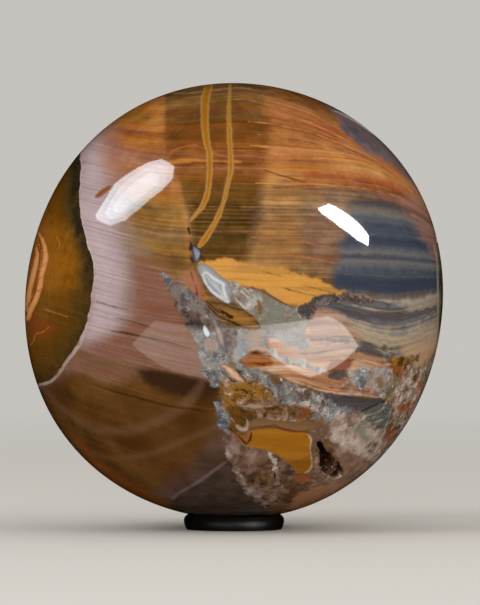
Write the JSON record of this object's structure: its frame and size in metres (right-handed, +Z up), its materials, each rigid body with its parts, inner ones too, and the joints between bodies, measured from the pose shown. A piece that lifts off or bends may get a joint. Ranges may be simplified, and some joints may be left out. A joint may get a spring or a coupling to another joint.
{
  "type": "agate sphere",
  "caption": "Polished ball of banded and brecciated agate with a crystal-lined vug, standing on a low black ring.",
  "frame": {"origin": "on the table, under the middle of the ball, at the centre of the ring's foot", "axes": "+Z up; -Y is the side seen in the picture, with the pale boundary of the amber cap on -X and the vug low on +X"},
  "size_m": [0.1, 0.1, 0.1067],
  "materials": {
    "agate": "polished banded agate, jasper and quartz, amber, mauve, slate and grey",
    "quartz_crust": "drusy quartz, brown and clear",
    "ring": "black moulded plastic, glossy"
  },
  "bodies": {
    "root": {"stone": "agate", "vug_crystals": "quartz_crust", "ring_stand": "ring"}
  },
  "joints": []
}
